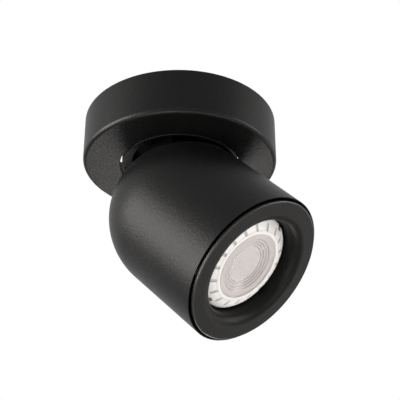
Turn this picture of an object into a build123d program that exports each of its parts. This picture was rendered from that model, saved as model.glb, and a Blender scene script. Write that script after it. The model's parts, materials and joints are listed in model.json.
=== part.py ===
"""Surface ceiling spotlight.

A drum canopy holds a swivel ring flush in its floor. A yoke under the swivel carries a bullet-shaped head
that tilts with its dome nested in the ring. The head takes a twist-lock reflector lamp and a push-fit
front ring. Millimetres, +Z up, origin at the centre of the ceiling plane, canopy bracket along X.
The rest pose is the photographed one: the head swivelled and tilted.
"""

import os
from math import cos, degrees, radians, sin, sqrt

from build123d import *

# Rest pose and travel
SWIVEL_REST = 62.0
TILT_REST = 44.0
TILT_MAX = 47.0
LAMP_TWIST = 30.0

# Clearances between pieces
RUN_FIT = 0.05
SCREW_FIT = 0.05
BODY_GAP = 0.3
LEG_GAP = 0.4
BOLT_SLOT_GAP = 1.5

# Sheet metal and small fasteners
PLATE = 1.5
SCREW_R = 1.5
PAN_HEAD_R = 2.75
PAN_HEAD_H = 2.0
PAN_ROUNDED_SHARE = 0.4
FLAT_HEAD_R = 2.8
DRIVER_SLOT = 0.7
DRIVER_DEPTH = 0.7
DRIVER_SPAN = (-DRIVER_SLOT / 2, DRIVER_SLOT / 2)

# Canopy
CANOPY_R = 50.0
CANOPY_H = 24.65
CANOPY_WALL = 1.5
CANOPY_FLOOR = 1.6
CANOPY_EDGE = 2.0
CANOPY_INNER_EDGE = 0.8
CANOPY_HOLE_R = 30.9
CANOPY_HOLE_EDGE = 0.4
FACE_Z = -CANOPY_H
CANOPY_INNER_R = CANOPY_R - CANOPY_WALL
FLOOR_Z = FACE_Z + CANOPY_FLOOR

# Ceiling bracket and the canopy's side screws
BRACKET_GAP = 1.6
BRACKET_SPAN = CANOPY_INNER_R - BRACKET_GAP
BRACKET_W = 18.0
BRACKET_TAB = 13.0
BRACKET_DISC_R = 20.0
BRACKET_BEND = 2.0
CABLE_HOLE_R = 7.5
CEILING_PITCH = 60.0
CEILING_SLOT_W = 4.5
CEILING_SLOT_L = 10.0
SIDE_SCREW_R = 2.0
SIDE_SCREW_Z = -8.0
SIDE_SCREW_INSET = 0.2
SIDE_SCREW_TIP = 0.3
SIDE_BOSS_R = 4.0
SIDE_BOSS_IN = 1.2
TAB_HOLE_GAP = 0.2

# Terminal block under the bracket's tongue
POLE_PITCH = 9.3
BLOCK_W = 3 * POLE_PITCH
BLOCK_H = 12.5
BLOCK_EDGE = 1.2
BLOCK_SETBACK = 0.7
BLOCK_WALL_GAP = 1.85
BLOCK_IN = CANOPY_HOLE_R + BLOCK_SETBACK
BLOCK_OUT = sqrt(CANOPY_INNER_R ** 2 - (BLOCK_W / 2) ** 2) - BLOCK_WALL_GAP
BLOCK_D = BLOCK_OUT - BLOCK_IN
BLOCK_LOW = -PLATE - BLOCK_H
BLOCK_GROOVE_W = 1.2
BLOCK_GROOVE_H = 2.0
TONGUE_W = 16.0
WIRE_HOLE_R = 1.5
WIRE_HOLE_SHARE = 0.692
WIRE_HOLE_L = WIRE_HOLE_SHARE * BLOCK_D
WIRE_Z = -3.65
WIRE_ROWS = 5.0
CLAMP_R_SHARE = 0.131
CLAMP_R = CLAMP_R_SHARE * BLOCK_D
CLAMP_L = 3.2
CLAMP_INSET = 0.4
CLAMP_PITCH_SHARE = 0.423
CLAMP_PITCH = CLAMP_PITCH_SHARE * BLOCK_D
BLOCK_SCREW_L = 8.0
BLOCK_SCREW_AT = (POLE_PITCH / 2, BLOCK_IN + BLOCK_D / 2)

# Earth point and leads
EARTH_AT = (-13.0, 8.0)
EARTH_HEAD_R = 3.6
EARTH_HEAD_H = 2.4
TAG_T = 0.8
TAG_R = 4.0
TAG_BARREL_R = 1.5
TAG_BARREL_L = 4.0
TAG_REACH = 5.0
TAG_OVERLAP = 1.0
LEAD_R = 0.9
LEAD_BEND = 4.0
LEAD_BORE_OFFSET = 1.4
LEAD_END_SHARE = 0.7
EARTH_LEAD_START = 4.0
EARTH_LEAD_RUN_IN = 4.6
MAINS_LEAD_RUN_IN = 6.6
MAINS_LEAD_TURN_Y = 12.0
LAMP_LEAD_DROP = 5.4
LAMP_LEAD_RISE = 10.7
LAMP_LEAD_END_SHARE = 0.8

# Head: a hemisphere and a barrel, on an axis through the tilt pivot
HEAD_R = 39.1
HEAD_WALL = 2.2
HEAD_BARREL = 50.9
RIM_EDGE = 0.35
FRONT_PROUD = 1.7
DOME_OFFSET = 6.5
DOME_RISE = 5.6
HEAD_BORE_R = HEAD_R - HEAD_WALL
HEAD_MOUTH_R = HEAD_R - RIM_EDGE
PIVOT_DROP = HEAD_R - DOME_OFFSET - DOME_RISE
PIVOT_Z = FACE_Z - PIVOT_DROP
DOME_Z = -DOME_OFFSET
RIM_Z = DOME_Z - HEAD_BARREL
FRONT_Z = RIM_Z - FRONT_PROUD

# Where the dome's centre lies at full tilt: out from the canopy's axis and down from its face
DOME_OUT = DOME_OFFSET * sin(radians(TILT_MAX))
DOME_DOWN = PIVOT_DROP + DOME_OFFSET * cos(radians(TILT_MAX))
DOME_TOP = FACE_Z - DOME_DOWN + HEAD_R

# Swivel ring, whose lip clears the dome at full tilt
RING_GAP = 1.0
RING_R = CANOPY_HOLE_R - RING_GAP
RING_WALL = 1.6
RING_H = 5.5
RING_EDGE = 0.4
RING_LIP_RISE = 3.0
RING_LIP_T = 1.4
DOME_GAP = 0.6
RING_LIP_R = DOME_OUT + sqrt((HEAD_R + DOME_GAP) ** 2 - (DOME_DOWN + RING_LIP_RISE) ** 2)
RING_POST_R = 2.4
RING_POST_INSET = 0.8
RING_POST_AT = RING_R - RING_POST_R - RING_POST_INSET
POST_SCREW_R = 1.25
POST_SCREW_HEAD_R = 2.3
POST_SCREW_L = 6.0

# Yoke and swivel stack, upwards from the highest point the dome reaches
YOKE_CLEAR = 0.75
YOKE_BOTTOM = DOME_TOP + YOKE_CLEAR
YOKE_SPAN = 20.0
YOKE_W = 12.0
YOKE_BEND = 2.5
YOKE_END_FLAT = 0.1
YOKE_TOP = YOKE_BOTTOM + PLATE
BRIDGE_TOP = YOKE_TOP + PLATE
BRIDGE_SETBACK = 0.2
BRIDGE_R = RING_R - BRIDGE_SETBACK
SLIP_T = 1.0
WASHER_T = 0.8
WASHER_R = 8.5
DISH_T = 1.0
DISH_R = 7.6
DISH_SHEET = 0.6
NUT_T = 2.5
NUT_FLATS = 14.0
SLIP_TOP = BRIDGE_TOP + SLIP_T
BAR_TOP = SLIP_TOP + PLATE
WASHER_TOP = BAR_TOP + WASHER_T
DISH_TOP = WASHER_TOP + DISH_T
NUT_TOP = DISH_TOP + NUT_T
BOLT_R = 5.0
BOLT_BORE_R = 3.5
BOLT_HEAD_R = 6.5
BOLT_HEAD_H = 2.0
BOLT_EDGE = 0.5
BOLT_STANDOUT = 0.4
BOLT_TOP = NUT_TOP + BOLT_STANDOUT
LEAD_JOIN_Z = BAR_TOP - PLATE / 2

# Cross-bar that hangs the swivel in the canopy
BAR_ANGLE = 40.0
BAR_W = 12.0
BAR_POST_R = 4.0
BAR_POST_INSET = 9.0
BAR_POST_AT = CANOPY_INNER_R - BAR_POST_INSET
BAR_OVERHANG = 4.5
BAR_HALF = BAR_POST_AT + BAR_OVERHANG
BAR_SCREW_L = 8.0
STOP_AT = 21.0
STOP_R = 1.0
STOP_H = SLIP_T - BODY_GAP

# Tilt pivot
PIVOT_HOLE_R = 2.55
PIVOT_PIN_R = PIVOT_HOLE_R - RUN_FIT
PIVOT_THREAD_R = 2.0
PIVOT_HEAD_R = 4.0
PIVOT_HEAD_H = 2.5
PIVOT_DISH_R = 5.0
PIVOT_DISH_T = 1.0
PIVOT_WASHER_T = 1.0
PIVOT_WASHER_R = 6.0
LUG_IN = YOKE_SPAN + PIVOT_WASHER_T
LUG_T = 4.5
LUG_R = 7.0
LUG_END = 0.5
LEG_IN = YOKE_SPAN - PLATE

# Lamp, measured back from the front ring's face
LAMP_R = 25.0
LAMP_WALL = 1.3
LAMP_NOSE = 5.2
LAMP_NOSE_W = 1.6
LAMP_NOSE_EDGE = 0.5
LAMP_NOSE_WALL = 2.1
LAMP_SHOULDER = 8.0
LAMP_SHOULDER_IN = 0.8
LAMP_SKIRT = 12.5
LAMP_LEDGE = 16.0
LAMP_RIM = LAMP_LEDGE + 1.2 * LAMP_WALL
LAMP_NECK = 40.0
LAMP_NECK_R = 13.4
LAMP_CONE_R = 22.2
LAMP_BASE = 51.7
PLUG_R = 13.2
PLUG_HALF = 7.7
PLUG_EDGE = 1.0
LENS_GAP = 0.1
LENS_R = 17.2
LENS_RIM = 7.1
LENS_STEPS = 5
LENS_STEP_IN = 1.84
LENS_STEP_DOWN = 0.56
LENS_BACK = 11.5
NOSE_BACK = 10.5
VENTS = 18
VENT_L = 3.6
VENT_W = 1.8
VENT_AT = 20.9
VENT_DEEP = 0.7
NOTCHES = 4
NOTCH_TURN = -82.0
NOTCH_W = 3.0
NOTCH_IN = 1.9
FINS = 4 * NOTCHES
FIN_T = 1.2
BOARD_R = 22.3
BOARD_T = 1.6
BOARD_AT = LAMP_LEDGE - BOARD_T
CHIP_W = 3.0
CHIP_H = 0.8
CHIP_AT = 7.5
PIN_AT = 5.0
PIN_NECK_R = 1.6
PIN_FOOT_R = 2.5
PIN_L = 7.5
PIN_FOOT_L = 3.4
PIN_EDGE = 0.6

# Lampholder and its bracket
HOLDER_X = 8.0
HOLDER_Y = 14.0
HOLDER_H = 17.0
HOLDER_EDGE = 3.0
HOLDER_FACE_T = PIN_L - PIN_FOOT_L - 2 * BODY_GAP
CONTACT_T = 0.6
HOLDER_Z = FRONT_Z + LAMP_BASE + BODY_GAP
HOLDER_TOP = HOLDER_Z + HOLDER_H
CAVITY_TOP = FRONT_Z + LAMP_BASE + PIN_L + BODY_GAP + CONTACT_T
HOLDER_LEAD_AT = (3.5, -8.0)
HOLDER_LEAD_L = 5.0
HOLDER_SCREWS_Y = (2.5, 10.5)
HOLDER_SCREW_L = 7.0
BRACKET_START_Y = -2.0
BRACKET_EDGE = 2.0
BOSS_D = 8.5
BOSS_MARGIN = 3.2
BOSS_END_Y = sqrt(HEAD_BORE_R ** 2 - (HOLDER_TOP + PLATE - DOME_Z) ** 2) - BOSS_MARGIN
BOSS_SCREW_X = 4.5
BOSS_SCREW_Y = BOSS_END_Y - BOSS_D / 2
BOSS_SCREW_L = 7.5

# Front ring, measured back from its own face
FLANGE_GAP = 1.15
FLANGE_R = HEAD_MOUTH_R - FLANGE_GAP
FLANGE_T = 1.2
FLANGE_EDGE = 0.5
THROAT_GAP = 0.9
THROAT_R = LAMP_R + THROAT_GAP
THROAT_L = 13.0
LIP_R = 5.2
LIP_WALL_SHARE = 0.9
SHEET = 1.3
SKIRT_GAP = 1.7
SKIRT_R = HEAD_BORE_R - SKIRT_GAP
SKIRT_L = 14.0
RIBS = 3
RIB_TURN = 90.0
RIB_W = 6.0
RIB_L = 12.0
RIB_SLOPE_SHARE = 0.8
LEAVES = 3
LEAF_TURN = 30.0
LEAF_T = 0.4
LEAF_START = 3.5
LEAF_FOOT = 3.0
LEAF_BOW = 7.0
LEAF_HALF_ANGLE = 6.0
LEAF_CROWN_R = HEAD_BORE_R - BODY_GAP
RIVET_R = 1.0
RIVET_HEAD_R = 1.6
RIVET_HEAD_H = 0.5
RIVET_AT = LEAF_START + LEAF_FOOT / 2

SWIVEL = Rot(0, 0, SWIVEL_REST)
HEAD = Pos(0, 0, PIVOT_Z) * SWIVEL * Rot(-TILT_REST, 0, 0)
BASE_ALIGN = (Align.CENTER, Align.CENTER, Align.MIN)


def rounded(points, roundings=()):
    """Closed flat outline through the points; roundings are (corner number, radius)."""
    face = make_face(Polyline(*points, close=True))
    for number, radius in roundings:
        spot = (points[number][0], points[number][1], 0)
        face = fillet(face.vertices().sort_by_distance(spot)[0], radius)
    return face


def turned(points, roundings=()):
    """Solid of revolution about Z from a closed (radius, height) outline."""
    return revolve(Plane.XZ * rounded(points, roundings), Axis.Z)


def rod(radius, bottom, top, at=(0, 0)):
    """Upright cylinder between two heights."""
    return Pos(at[0], at[1], bottom) * Cylinder(radius, top - bottom, align=BASE_ALIGN)


def cross_rod(radius, left, right, z=0):
    """Cylinder along X between two stations."""
    return Pos(left, 0, z) * Rot(0, 90, 0) * Cylinder(radius, right - left, align=BASE_ALIGN)


def deep_rod(radius, length):
    """Cylinder along +Y from the origin."""
    return Rot(-90, 0, 0) * Cylinder(radius, length, align=BASE_ALIGN)


def tube(outer, inner, bottom, top):
    """Upright ring between two heights."""
    return rod(outer, bottom, top) - rod(inner, bottom, top)


def slab(x, y, z):
    """Box from its low and high stations on each axis."""
    middle = Pos((x[0] + x[1]) / 2, (y[0] + y[1]) / 2, (z[0] + z[1]) / 2)
    return middle * Box(abs(x[1] - x[0]), y[1] - y[0], z[1] - z[0])


def around(shape, count, start=0.0):
    """Copies of a shape at even turns about Z."""
    return [Rot(0, 0, start + 360 * step / count) * shape for step in range(count)]


def pan_screw(radius, length, head_r=PAN_HEAD_R, head_h=PAN_HEAD_H):
    """Slotted pan-head screw on Z, seated at height 0 with its shank below."""
    outline = [(0, -length), (radius, -length), (radius, 0), (head_r, 0), (head_r, head_h), (0, head_h)]
    slot = slab((-head_r, head_r), DRIVER_SPAN, (head_h - DRIVER_DEPTH, head_h))
    return turned(outline, [(4, head_h * PAN_ROUNDED_SHARE)]) - slot


def flat_screw(radius, length, head_r):
    """Countersunk slotted screw on Z with its flat top at height 0."""
    slot = slab((-head_r, head_r), DRIVER_SPAN, (-DRIVER_DEPTH, 0))
    return countersink(radius, length, head_r) - slot


def countersink(radius, length, head_r):
    """Countersunk shape on Z with its flat top at height 0."""
    return turned([(0, -length), (radius, -length), (radius, radius - head_r), (head_r, 0), (0, 0)])


def dished_washer(outer, inner, bottom, height):
    """Spring washer: a shallow cone of sheet metal."""
    top = bottom + height
    return turned([(inner, top - DISH_SHEET), (inner, top), (outer, bottom + DISH_SHEET), (outer, bottom)])


def bent_strap(span, top, bottom, width, bend):
    """U-shaped strap of plate: a web at the top and a leg at each end."""
    inner = span - PLATE
    under = top - PLATE
    outline = [(-span, bottom), (-span, top), (span, top), (span, bottom)]
    outline += [(inner, bottom), (inner, under), (-inner, under), (-inner, bottom)]
    inside_bend = bend - PLATE
    bends = [(1, bend), (2, bend), (5, inside_bend), (6, inside_bend)]
    return extrude(Plane.XZ * rounded(outline, bends), width / 2, both=True)


def lead(points, bend):
    """Insulated wire through the points, with tangent arcs at the corners."""
    route = FilletPolyline(*points, radius=bend)
    return sweep(Plane(route @ 0, z_dir=route % 0) * Circle(LEAD_R), path=route)


def back(depth):
    """Height in the head's own frame at a depth behind the front ring's face."""
    return FRONT_Z + depth


def behind(points):
    """Outline drawn as (radius, depth) in the head's own frame."""
    return [(radius, back(depth)) for radius, depth in points]


def save(name, solids, place=Location()):
    """Write one node from one solid or a list of solids."""
    pieces = solids if isinstance(solids, list) else [solids]
    placed = [place * piece for piece in pieces]
    export_step(placed[0] if len(placed) == 1 else Compound(children=placed), f"parts/{name}.step")


# Canopy

def canopy_shell():
    """Open-topped drum with posts for the cross-bar and bosses for the side screws."""
    outline = [(CANOPY_R, 0), (CANOPY_R, FACE_Z), (CANOPY_HOLE_R, FACE_Z), (CANOPY_HOLE_R, FLOOR_Z)]
    outline += [(CANOPY_INNER_R, FLOOR_Z), (CANOPY_INNER_R, 0)]
    shell = turned(outline, [(1, CANOPY_EDGE), (2, CANOPY_HOLE_EDGE), (4, CANOPY_INNER_EDGE)])
    post = rod(BAR_POST_R, FLOOR_Z - CANOPY_FLOOR / 2, SLIP_TOP, (BAR_POST_AT, 0))
    post_hole = rod(SCREW_R + SCREW_FIT, SLIP_TOP - BAR_SCREW_L, SLIP_TOP, (BAR_POST_AT, 0))
    boss_in = CANOPY_INNER_R - SIDE_BOSS_IN
    boss = cross_rod(SIDE_BOSS_R, boss_in, CANOPY_R - CANOPY_WALL / 2, SIDE_SCREW_Z)
    boss_hole = cross_rod(SIDE_SCREW_R + SCREW_FIT, boss_in, CANOPY_R, SIDE_SCREW_Z)
    for turn in (0, 180):
        shell += Rot(0, 0, BAR_ANGLE + turn) * post
        shell -= Rot(0, 0, BAR_ANGLE + turn) * post_hole
        shell += Rot(0, 0, turn) * boss
        shell -= Rot(0, 0, turn) * boss_hole
    return shell


def side_screw():
    """Slotted grub screw along X, just under flush, with a cone point in the bracket's tab."""
    outer = CANOPY_R - SIDE_SCREW_INSET
    point = BRACKET_SPAN - PLATE - SIDE_SCREW_TIP
    cone = SIDE_SCREW_R / 2
    outline = [(0, point), (cone, point), (SIDE_SCREW_R, point + cone), (SIDE_SCREW_R, outer), (0, outer)]
    slot = slab((-SIDE_SCREW_R, SIDE_SCREW_R), DRIVER_SPAN, (outer - DRIVER_DEPTH, outer))
    return Pos(0, 0, SIDE_SCREW_Z) * Rot(0, 90, 0) * (turned(outline) - slot)


def ceiling_bracket():
    """Plate under the ceiling: slots, cable hole, folded tabs and the terminal block's tongue."""
    plate = bent_strap(BRACKET_SPAN, 0, -BRACKET_TAB, BRACKET_W, BRACKET_BEND)
    plate += rod(BRACKET_DISC_R, -PLATE, 0)
    plate += slab((-TONGUE_W / 2, TONGUE_W / 2), (0, BLOCK_OUT), (-PLATE, 0))
    plate -= rod(CABLE_HOLE_R, -PLATE, 0)
    slot = Pos(0, 0, -PLATE) * extrude(SlotOverall(CEILING_SLOT_L, CEILING_SLOT_W), PLATE)
    for side in (-1, 1):
        plate -= Pos(side * CEILING_PITCH / 2, 0, 0) * slot
    plate -= cross_rod(SIDE_SCREW_R + TAB_HOLE_GAP, -BRACKET_SPAN, BRACKET_SPAN, SIDE_SCREW_Z)
    plate -= rod(SIDE_SCREW_R + SCREW_FIT, -PLATE, 0, EARTH_AT)
    sink = countersink(SCREW_R + SCREW_FIT, 2 * PLATE, FLAT_HEAD_R + SCREW_FIT)
    return plate - Pos(*BLOCK_SCREW_AT, 0) * sink


def clamp_places():
    """Centres of the terminal block's clamp screws."""
    middle = BLOCK_IN + BLOCK_D / 2
    rows = (middle - CLAMP_PITCH / 2, middle + CLAMP_PITCH / 2)
    return [(pole * POLE_PITCH, y) for pole in (-1, 0, 1) for y in rows]


def terminal_block():
    """Three-pole block with two rows of wire holes facing the middle and clamp screws below."""
    block = slab((-BLOCK_W / 2, BLOCK_W / 2), (BLOCK_IN, BLOCK_OUT), (BLOCK_LOW, -PLATE))
    block = fillet(block.edges().filter_by(Axis.Z), BLOCK_EDGE)
    for pole in (-1, 0, 1):
        for height in (WIRE_Z, WIRE_Z - WIRE_ROWS):
            block -= Pos(pole * POLE_PITCH, BLOCK_IN, height) * deep_rod(WIRE_HOLE_R, WIRE_HOLE_L)
    for at in clamp_places():
        block -= rod(CLAMP_R + SCREW_FIT, BLOCK_LOW, BLOCK_LOW + CLAMP_INSET + CLAMP_L, at)
    for side in (-1, 1):
        middle = side * POLE_PITCH / 2
        width = (middle - BLOCK_GROOVE_W / 2, middle + BLOCK_GROOVE_W / 2)
        block -= slab(width, (BLOCK_IN, BLOCK_OUT), (BLOCK_LOW, BLOCK_LOW + BLOCK_GROOVE_H))
    return block - rod(SCREW_R + SCREW_FIT, -BLOCK_SCREW_L - PLATE, -PLATE, BLOCK_SCREW_AT)


def clamp_screws():
    """Slotted clamp screws, just below flush in the block's lower face."""
    low = BLOCK_LOW + CLAMP_INSET
    slot = slab((-CLAMP_R, CLAMP_R), DRIVER_SPAN, (low, low + DRIVER_DEPTH))
    screw = rod(CLAMP_R, low, low + CLAMP_L) - slot
    return [Pos(*at, 0) * screw for at in clamp_places()]


def earth_screw():
    """Pan-head screw up through the crimp terminal into the bracket."""
    screw = pan_screw(SIDE_SCREW_R, TAG_T + PLATE / 2, EARTH_HEAD_R, EARTH_HEAD_H)
    return Pos(*EARTH_AT, -PLATE - TAG_T) * Rot(180, 0, 0) * screw


def earth_tag():
    """Crimp terminal: an eye under the earth screw and a barrel for the lead."""
    eye = (-PLATE - TAG_T, -PLATE)
    tag = tube(TAG_R, SIDE_SCREW_R + SCREW_FIT, *eye)
    neck = (SIDE_SCREW_R + TAG_OVERLAP, TAG_REACH + TAG_OVERLAP)
    tag += slab((-TAG_BARREL_R, TAG_BARREL_R), neck, eye)
    tag += Pos(0, TAG_REACH, -PLATE - TAG_BARREL_R) * deep_rod(TAG_BARREL_R, TAG_BARREL_L)
    return Pos(*EARTH_AT, 0) * tag


def earth_lead():
    """Lead from the earth tag to the block's first pole."""
    x, y = EARTH_AT
    start = y + TAG_REACH + TAG_BARREL_L
    low = -PLATE - TAG_BARREL_R
    end = BLOCK_IN + WIRE_HOLE_L * LEAD_END_SHARE
    pole = -POLE_PITCH
    route = [(x, start, low), (x, start + EARTH_LEAD_START, low)]
    route += [(pole, BLOCK_IN - EARTH_LEAD_RUN_IN, WIRE_Z), (pole, end, WIRE_Z)]
    return lead(route, LEAD_BEND)


def mains_lead(side):
    """Lead from one of the block's other poles over the swivel bolt and down its bore."""
    turn = radians(SWIVEL_REST)
    pole = POLE_PITCH * (1 + side) / 2
    x = side * LEAD_BORE_OFFSET * sin(turn)
    y = -side * LEAD_BORE_OFFSET * cos(turn)
    end = BLOCK_IN + WIRE_HOLE_L * LEAD_END_SHARE
    route = [(pole, end, WIRE_Z), (pole, BLOCK_IN - MAINS_LEAD_RUN_IN, WIRE_Z)]
    route += [(x, MAINS_LEAD_TURN_Y, WIRE_Z), (x, y, WIRE_Z), (x, y, LEAD_JOIN_Z)]
    return lead(route, WIRE_Z - BOLT_TOP)


def cross_bar():
    """Strap across the canopy that hangs the swivel, with a pressed stop on its underside."""
    bar = Pos(0, 0, SLIP_TOP) * extrude(SlotOverall(2 * BAR_HALF, BAR_W), PLATE)
    bar -= rod(BOLT_R + RUN_FIT, SLIP_TOP, BAR_TOP)
    for side in (-1, 1):
        bar -= rod(SCREW_R + SCREW_FIT, SLIP_TOP, BAR_TOP, (side * BAR_POST_AT, 0))
    bar += rod(STOP_R, SLIP_TOP - STOP_H, SLIP_TOP, (STOP_AT, 0))
    return Rot(0, 0, BAR_ANGLE) * bar


# Swivel

def swivel_ring():
    """Shallow dished ring whose lower edge is flush with the canopy, with two posts for the bridge."""
    lip = FACE_Z + RING_LIP_RISE
    inner = RING_R - RING_WALL
    slope = RING_LIP_RISE / (RING_R - RING_LIP_R)
    step = FACE_Z + RING_WALL * (slope + 1)
    outline = [(RING_R, FACE_Z), (RING_R, FACE_Z + RING_H), (inner, FACE_Z + RING_H), (inner, step)]
    outline += [(RING_LIP_R, lip + RING_LIP_T), (RING_LIP_R, lip)]
    ring = turned(outline, [(0, RING_EDGE), (5, RING_EDGE)])
    post = rod(RING_POST_R, lip, YOKE_TOP, (RING_POST_AT, 0))
    post_hole = rod(POST_SCREW_R + SCREW_FIT, YOKE_TOP - POST_SCREW_L + PLATE, YOKE_TOP, (RING_POST_AT, 0))
    for turn in (0, 180):
        ring += Rot(0, 0, turn) * post
        ring -= Rot(0, 0, turn) * post_hole
    return ring


def bridge():
    """Round plate that covers the ring, with countersunk holes and a hole for the stop stud."""
    plate = tube(BRIDGE_R, BOLT_R + SCREW_FIT, YOKE_TOP, BRIDGE_TOP)
    plate -= rod(STOP_R + SCREW_FIT, YOKE_TOP, BRIDGE_TOP, (-STOP_AT, 0))
    sink = countersink(POST_SCREW_R + SCREW_FIT, 2 * PLATE, POST_SCREW_HEAD_R + SCREW_FIT)
    for side in (-1, 1):
        plate -= Pos(side * RING_POST_AT, 0, BRIDGE_TOP) * sink
    return plate


def yoke():
    """Fork of plate: a web under the bridge and two round-ended legs down to the tilt pivot."""
    fork = bent_strap(YOKE_SPAN, YOKE_TOP, PIVOT_Z - YOKE_W / 2, YOKE_W, YOKE_BEND)
    ends = fork.edges().filter_by(Axis.X).group_by(Axis.Z)[0]
    fork = fillet(ends, (YOKE_W - YOKE_END_FLAT) / 2)
    fork -= cross_rod(PIVOT_HOLE_R, -YOKE_SPAN, YOKE_SPAN, PIVOT_Z)
    return fork - rod(BOLT_R + SCREW_FIT, YOKE_BOTTOM, YOKE_TOP)


def swivel_bolt():
    """Hollow bolt with a round head under the yoke's web."""
    low = YOKE_BOTTOM - BOLT_HEAD_H
    outline = [(BOLT_BORE_R, low), (BOLT_HEAD_R, low), (BOLT_HEAD_R, YOKE_BOTTOM), (BOLT_R, YOKE_BOTTOM)]
    outline += [(BOLT_R, BOLT_TOP), (BOLT_BORE_R, BOLT_TOP)]
    return turned(outline, [(0, BOLT_EDGE), (1, BOLT_EDGE), (4, BOLT_EDGE), (5, BOLT_EDGE)])


def lock_nut():
    """Thin hexagon nut on the swivel bolt."""
    hexagon = RegularPolygon(NUT_FLATS / 2, 6, major_radius=False)
    nut = Pos(0, 0, DISH_TOP) * extrude(hexagon, NUT_T)
    return nut - rod(BOLT_R + SCREW_FIT, DISH_TOP, NUT_TOP)


def lamp_lead(side):
    """Lead from the swivel bolt's bore, bowed for slack, into the back of the lampholder."""
    tilt = radians(TILT_REST)
    x, y = HOLDER_LEAD_AT
    route = [(0, side * LEAD_BORE_OFFSET, LEAD_JOIN_Z)]
    route.append((0, side * LEAD_BORE_OFFSET, YOKE_BOTTOM - BOLT_HEAD_H - LAMP_LEAD_DROP))
    for z in (HOLDER_TOP + LAMP_LEAD_RISE, HOLDER_TOP - HOLDER_LEAD_L * LAMP_LEAD_END_SHARE):
        route.append((side * x, y * cos(tilt) + z * sin(tilt), PIVOT_Z - y * sin(tilt) + z * cos(tilt)))
    return lead(route, LEAD_BEND)


# Head, in its own frame: origin at the pivot, front towards -Z

def fan_slot(left, right, near, half_width):
    """Cutter for a slot in the dome, swept about the pivot over the whole tilt."""
    reach = HEAD_R - near
    margin = degrees(half_width / near)
    section = Plane.XZ * Pos((left + right) / 2, near + reach / 2) * Rectangle(right - left, reach)
    return Rot(-margin, 0, 0) * revolve(section, Axis.X, TILT_MAX + 2 * margin)


def pivot_lug():
    """Cast lug along the yoke's leg, from the dome down to a round end at the pivot."""
    sides = (LUG_IN, LUG_IN + LUG_T)
    return cross_rod(LUG_R, *sides) + slab(sides, (-LUG_R, LUG_R), (0, HEAD_R))


def stop_rib():
    """Cast rib in the head's bore that the front ring's skirt stops on."""
    inner = SKIRT_R - SHEET
    rib = slab((inner, HEAD_R), (-RIB_W / 2, RIB_W / 2), (back(SKIRT_L), back(SKIRT_L + RIB_L)))
    inner_edge = rib.edges().filter_by(Axis.Y).sort_by(Axis.Z)[-2:].sort_by(Axis.X)[0]
    return chamfer(inner_edge, (HEAD_BORE_R - inner) * RIB_SLOPE_SHARE)


def head_housing():
    """Bullet shell with pivot lugs, a bracket boss, stop ribs and slots for the yoke, bolt and leads."""
    outer = Pos(0, 0, DOME_Z) * Sphere(HEAD_R) + rod(HEAD_R, RIM_Z, DOME_Z)
    inner = Pos(0, 0, DOME_Z) * Sphere(HEAD_BORE_R) + rod(HEAD_BORE_R, RIM_Z, DOME_Z)
    shell = outer - inner
    depth = HEAD_MOUTH_R - HEAD_BORE_R
    shell -= turned([(0, RIM_Z), (HEAD_MOUTH_R, RIM_Z), (HEAD_BORE_R, RIM_Z + depth), (0, RIM_Z + depth)])
    dome_middle = Pos(0, 0, DOME_Z) * Sphere(HEAD_R - HEAD_WALL / 2)
    lug = pivot_lug() & dome_middle
    lug_hole = cross_rod(PIVOT_THREAD_R + SCREW_FIT, LUG_IN, LUG_IN + LUG_T - LUG_END)
    for turn in (0, 180):
        shell += Rot(0, 0, turn) * lug
        shell -= Rot(0, 0, turn) * lug_hole
    boss = slab((-HOLDER_X, HOLDER_X), (BOSS_END_Y - BOSS_D, BOSS_END_Y), (HOLDER_TOP + PLATE, HEAD_R))
    shell += boss & dome_middle
    for side in (-1, 1):
        at = (side * BOSS_SCREW_X, BOSS_SCREW_Y)
        shell -= rod(SCREW_R + SCREW_FIT, HOLDER_TOP, HOLDER_TOP + BOSS_SCREW_L + LUG_END, at)
    barrel_middle = rod(HEAD_R - HEAD_WALL / 2, RIM_Z, DOME_Z)
    for rib in around(stop_rib(), RIBS, RIB_TURN):
        shell += rib & barrel_middle
    near = HEAD_BORE_R - DOME_OFFSET - HEAD_WALL
    bolt_half = BOLT_HEAD_R + BOLT_SLOT_GAP
    shell -= fan_slot(-bolt_half, bolt_half, near, bolt_half)
    leg_near = sqrt(HEAD_BORE_R ** 2 - YOKE_SPAN ** 2) - DOME_OFFSET - HEAD_WALL
    for side in (-1, 1):
        left, right = sorted((side * (LEG_IN - LEG_GAP), side * (YOKE_SPAN + LEG_GAP)))
        shell -= fan_slot(left, right, leg_near, YOKE_W / 2 + LEG_GAP)
    return shell


def pivot_screw():
    """Shoulder screw along X: slotted head inside the yoke's leg, thread in the lug."""
    seat = LEG_IN - PIVOT_DISH_T
    low = seat - PIVOT_HEAD_H
    screw = cross_rod(PIVOT_HEAD_R, low, seat) + cross_rod(PIVOT_PIN_R, seat, LUG_IN)
    screw += cross_rod(PIVOT_THREAD_R, LUG_IN, LUG_IN + LUG_T - LUG_END - BODY_GAP)
    return screw - slab((low, low + DRIVER_DEPTH), DRIVER_SPAN, (-PIVOT_HEAD_R, PIVOT_HEAD_R))


def pivot_spring():
    """Dished washer between the screw's head and the yoke's leg."""
    washer = dished_washer(PIVOT_DISH_R, PIVOT_HOLE_R, 0, PIVOT_DISH_T)
    return Pos(LEG_IN - PIVOT_DISH_T, 0, 0) * Rot(0, 90, 0) * washer


def pivot_washer():
    """Friction washer between the yoke's leg and the lug."""
    return cross_rod(PIVOT_WASHER_R, YOKE_SPAN, LUG_IN) - cross_rod(PIVOT_HOLE_R, YOKE_SPAN, LUG_IN)


def pin_track(width, low, high):
    """Arc slot for one lamp pin, from locked to release."""
    arc = CenterArc((0, 0), PIN_AT, 90 - LAMP_TWIST, LAMP_TWIST)
    return Pos(0, 0, low) * extrude(SlotArc(arc, width), high - low)


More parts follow.
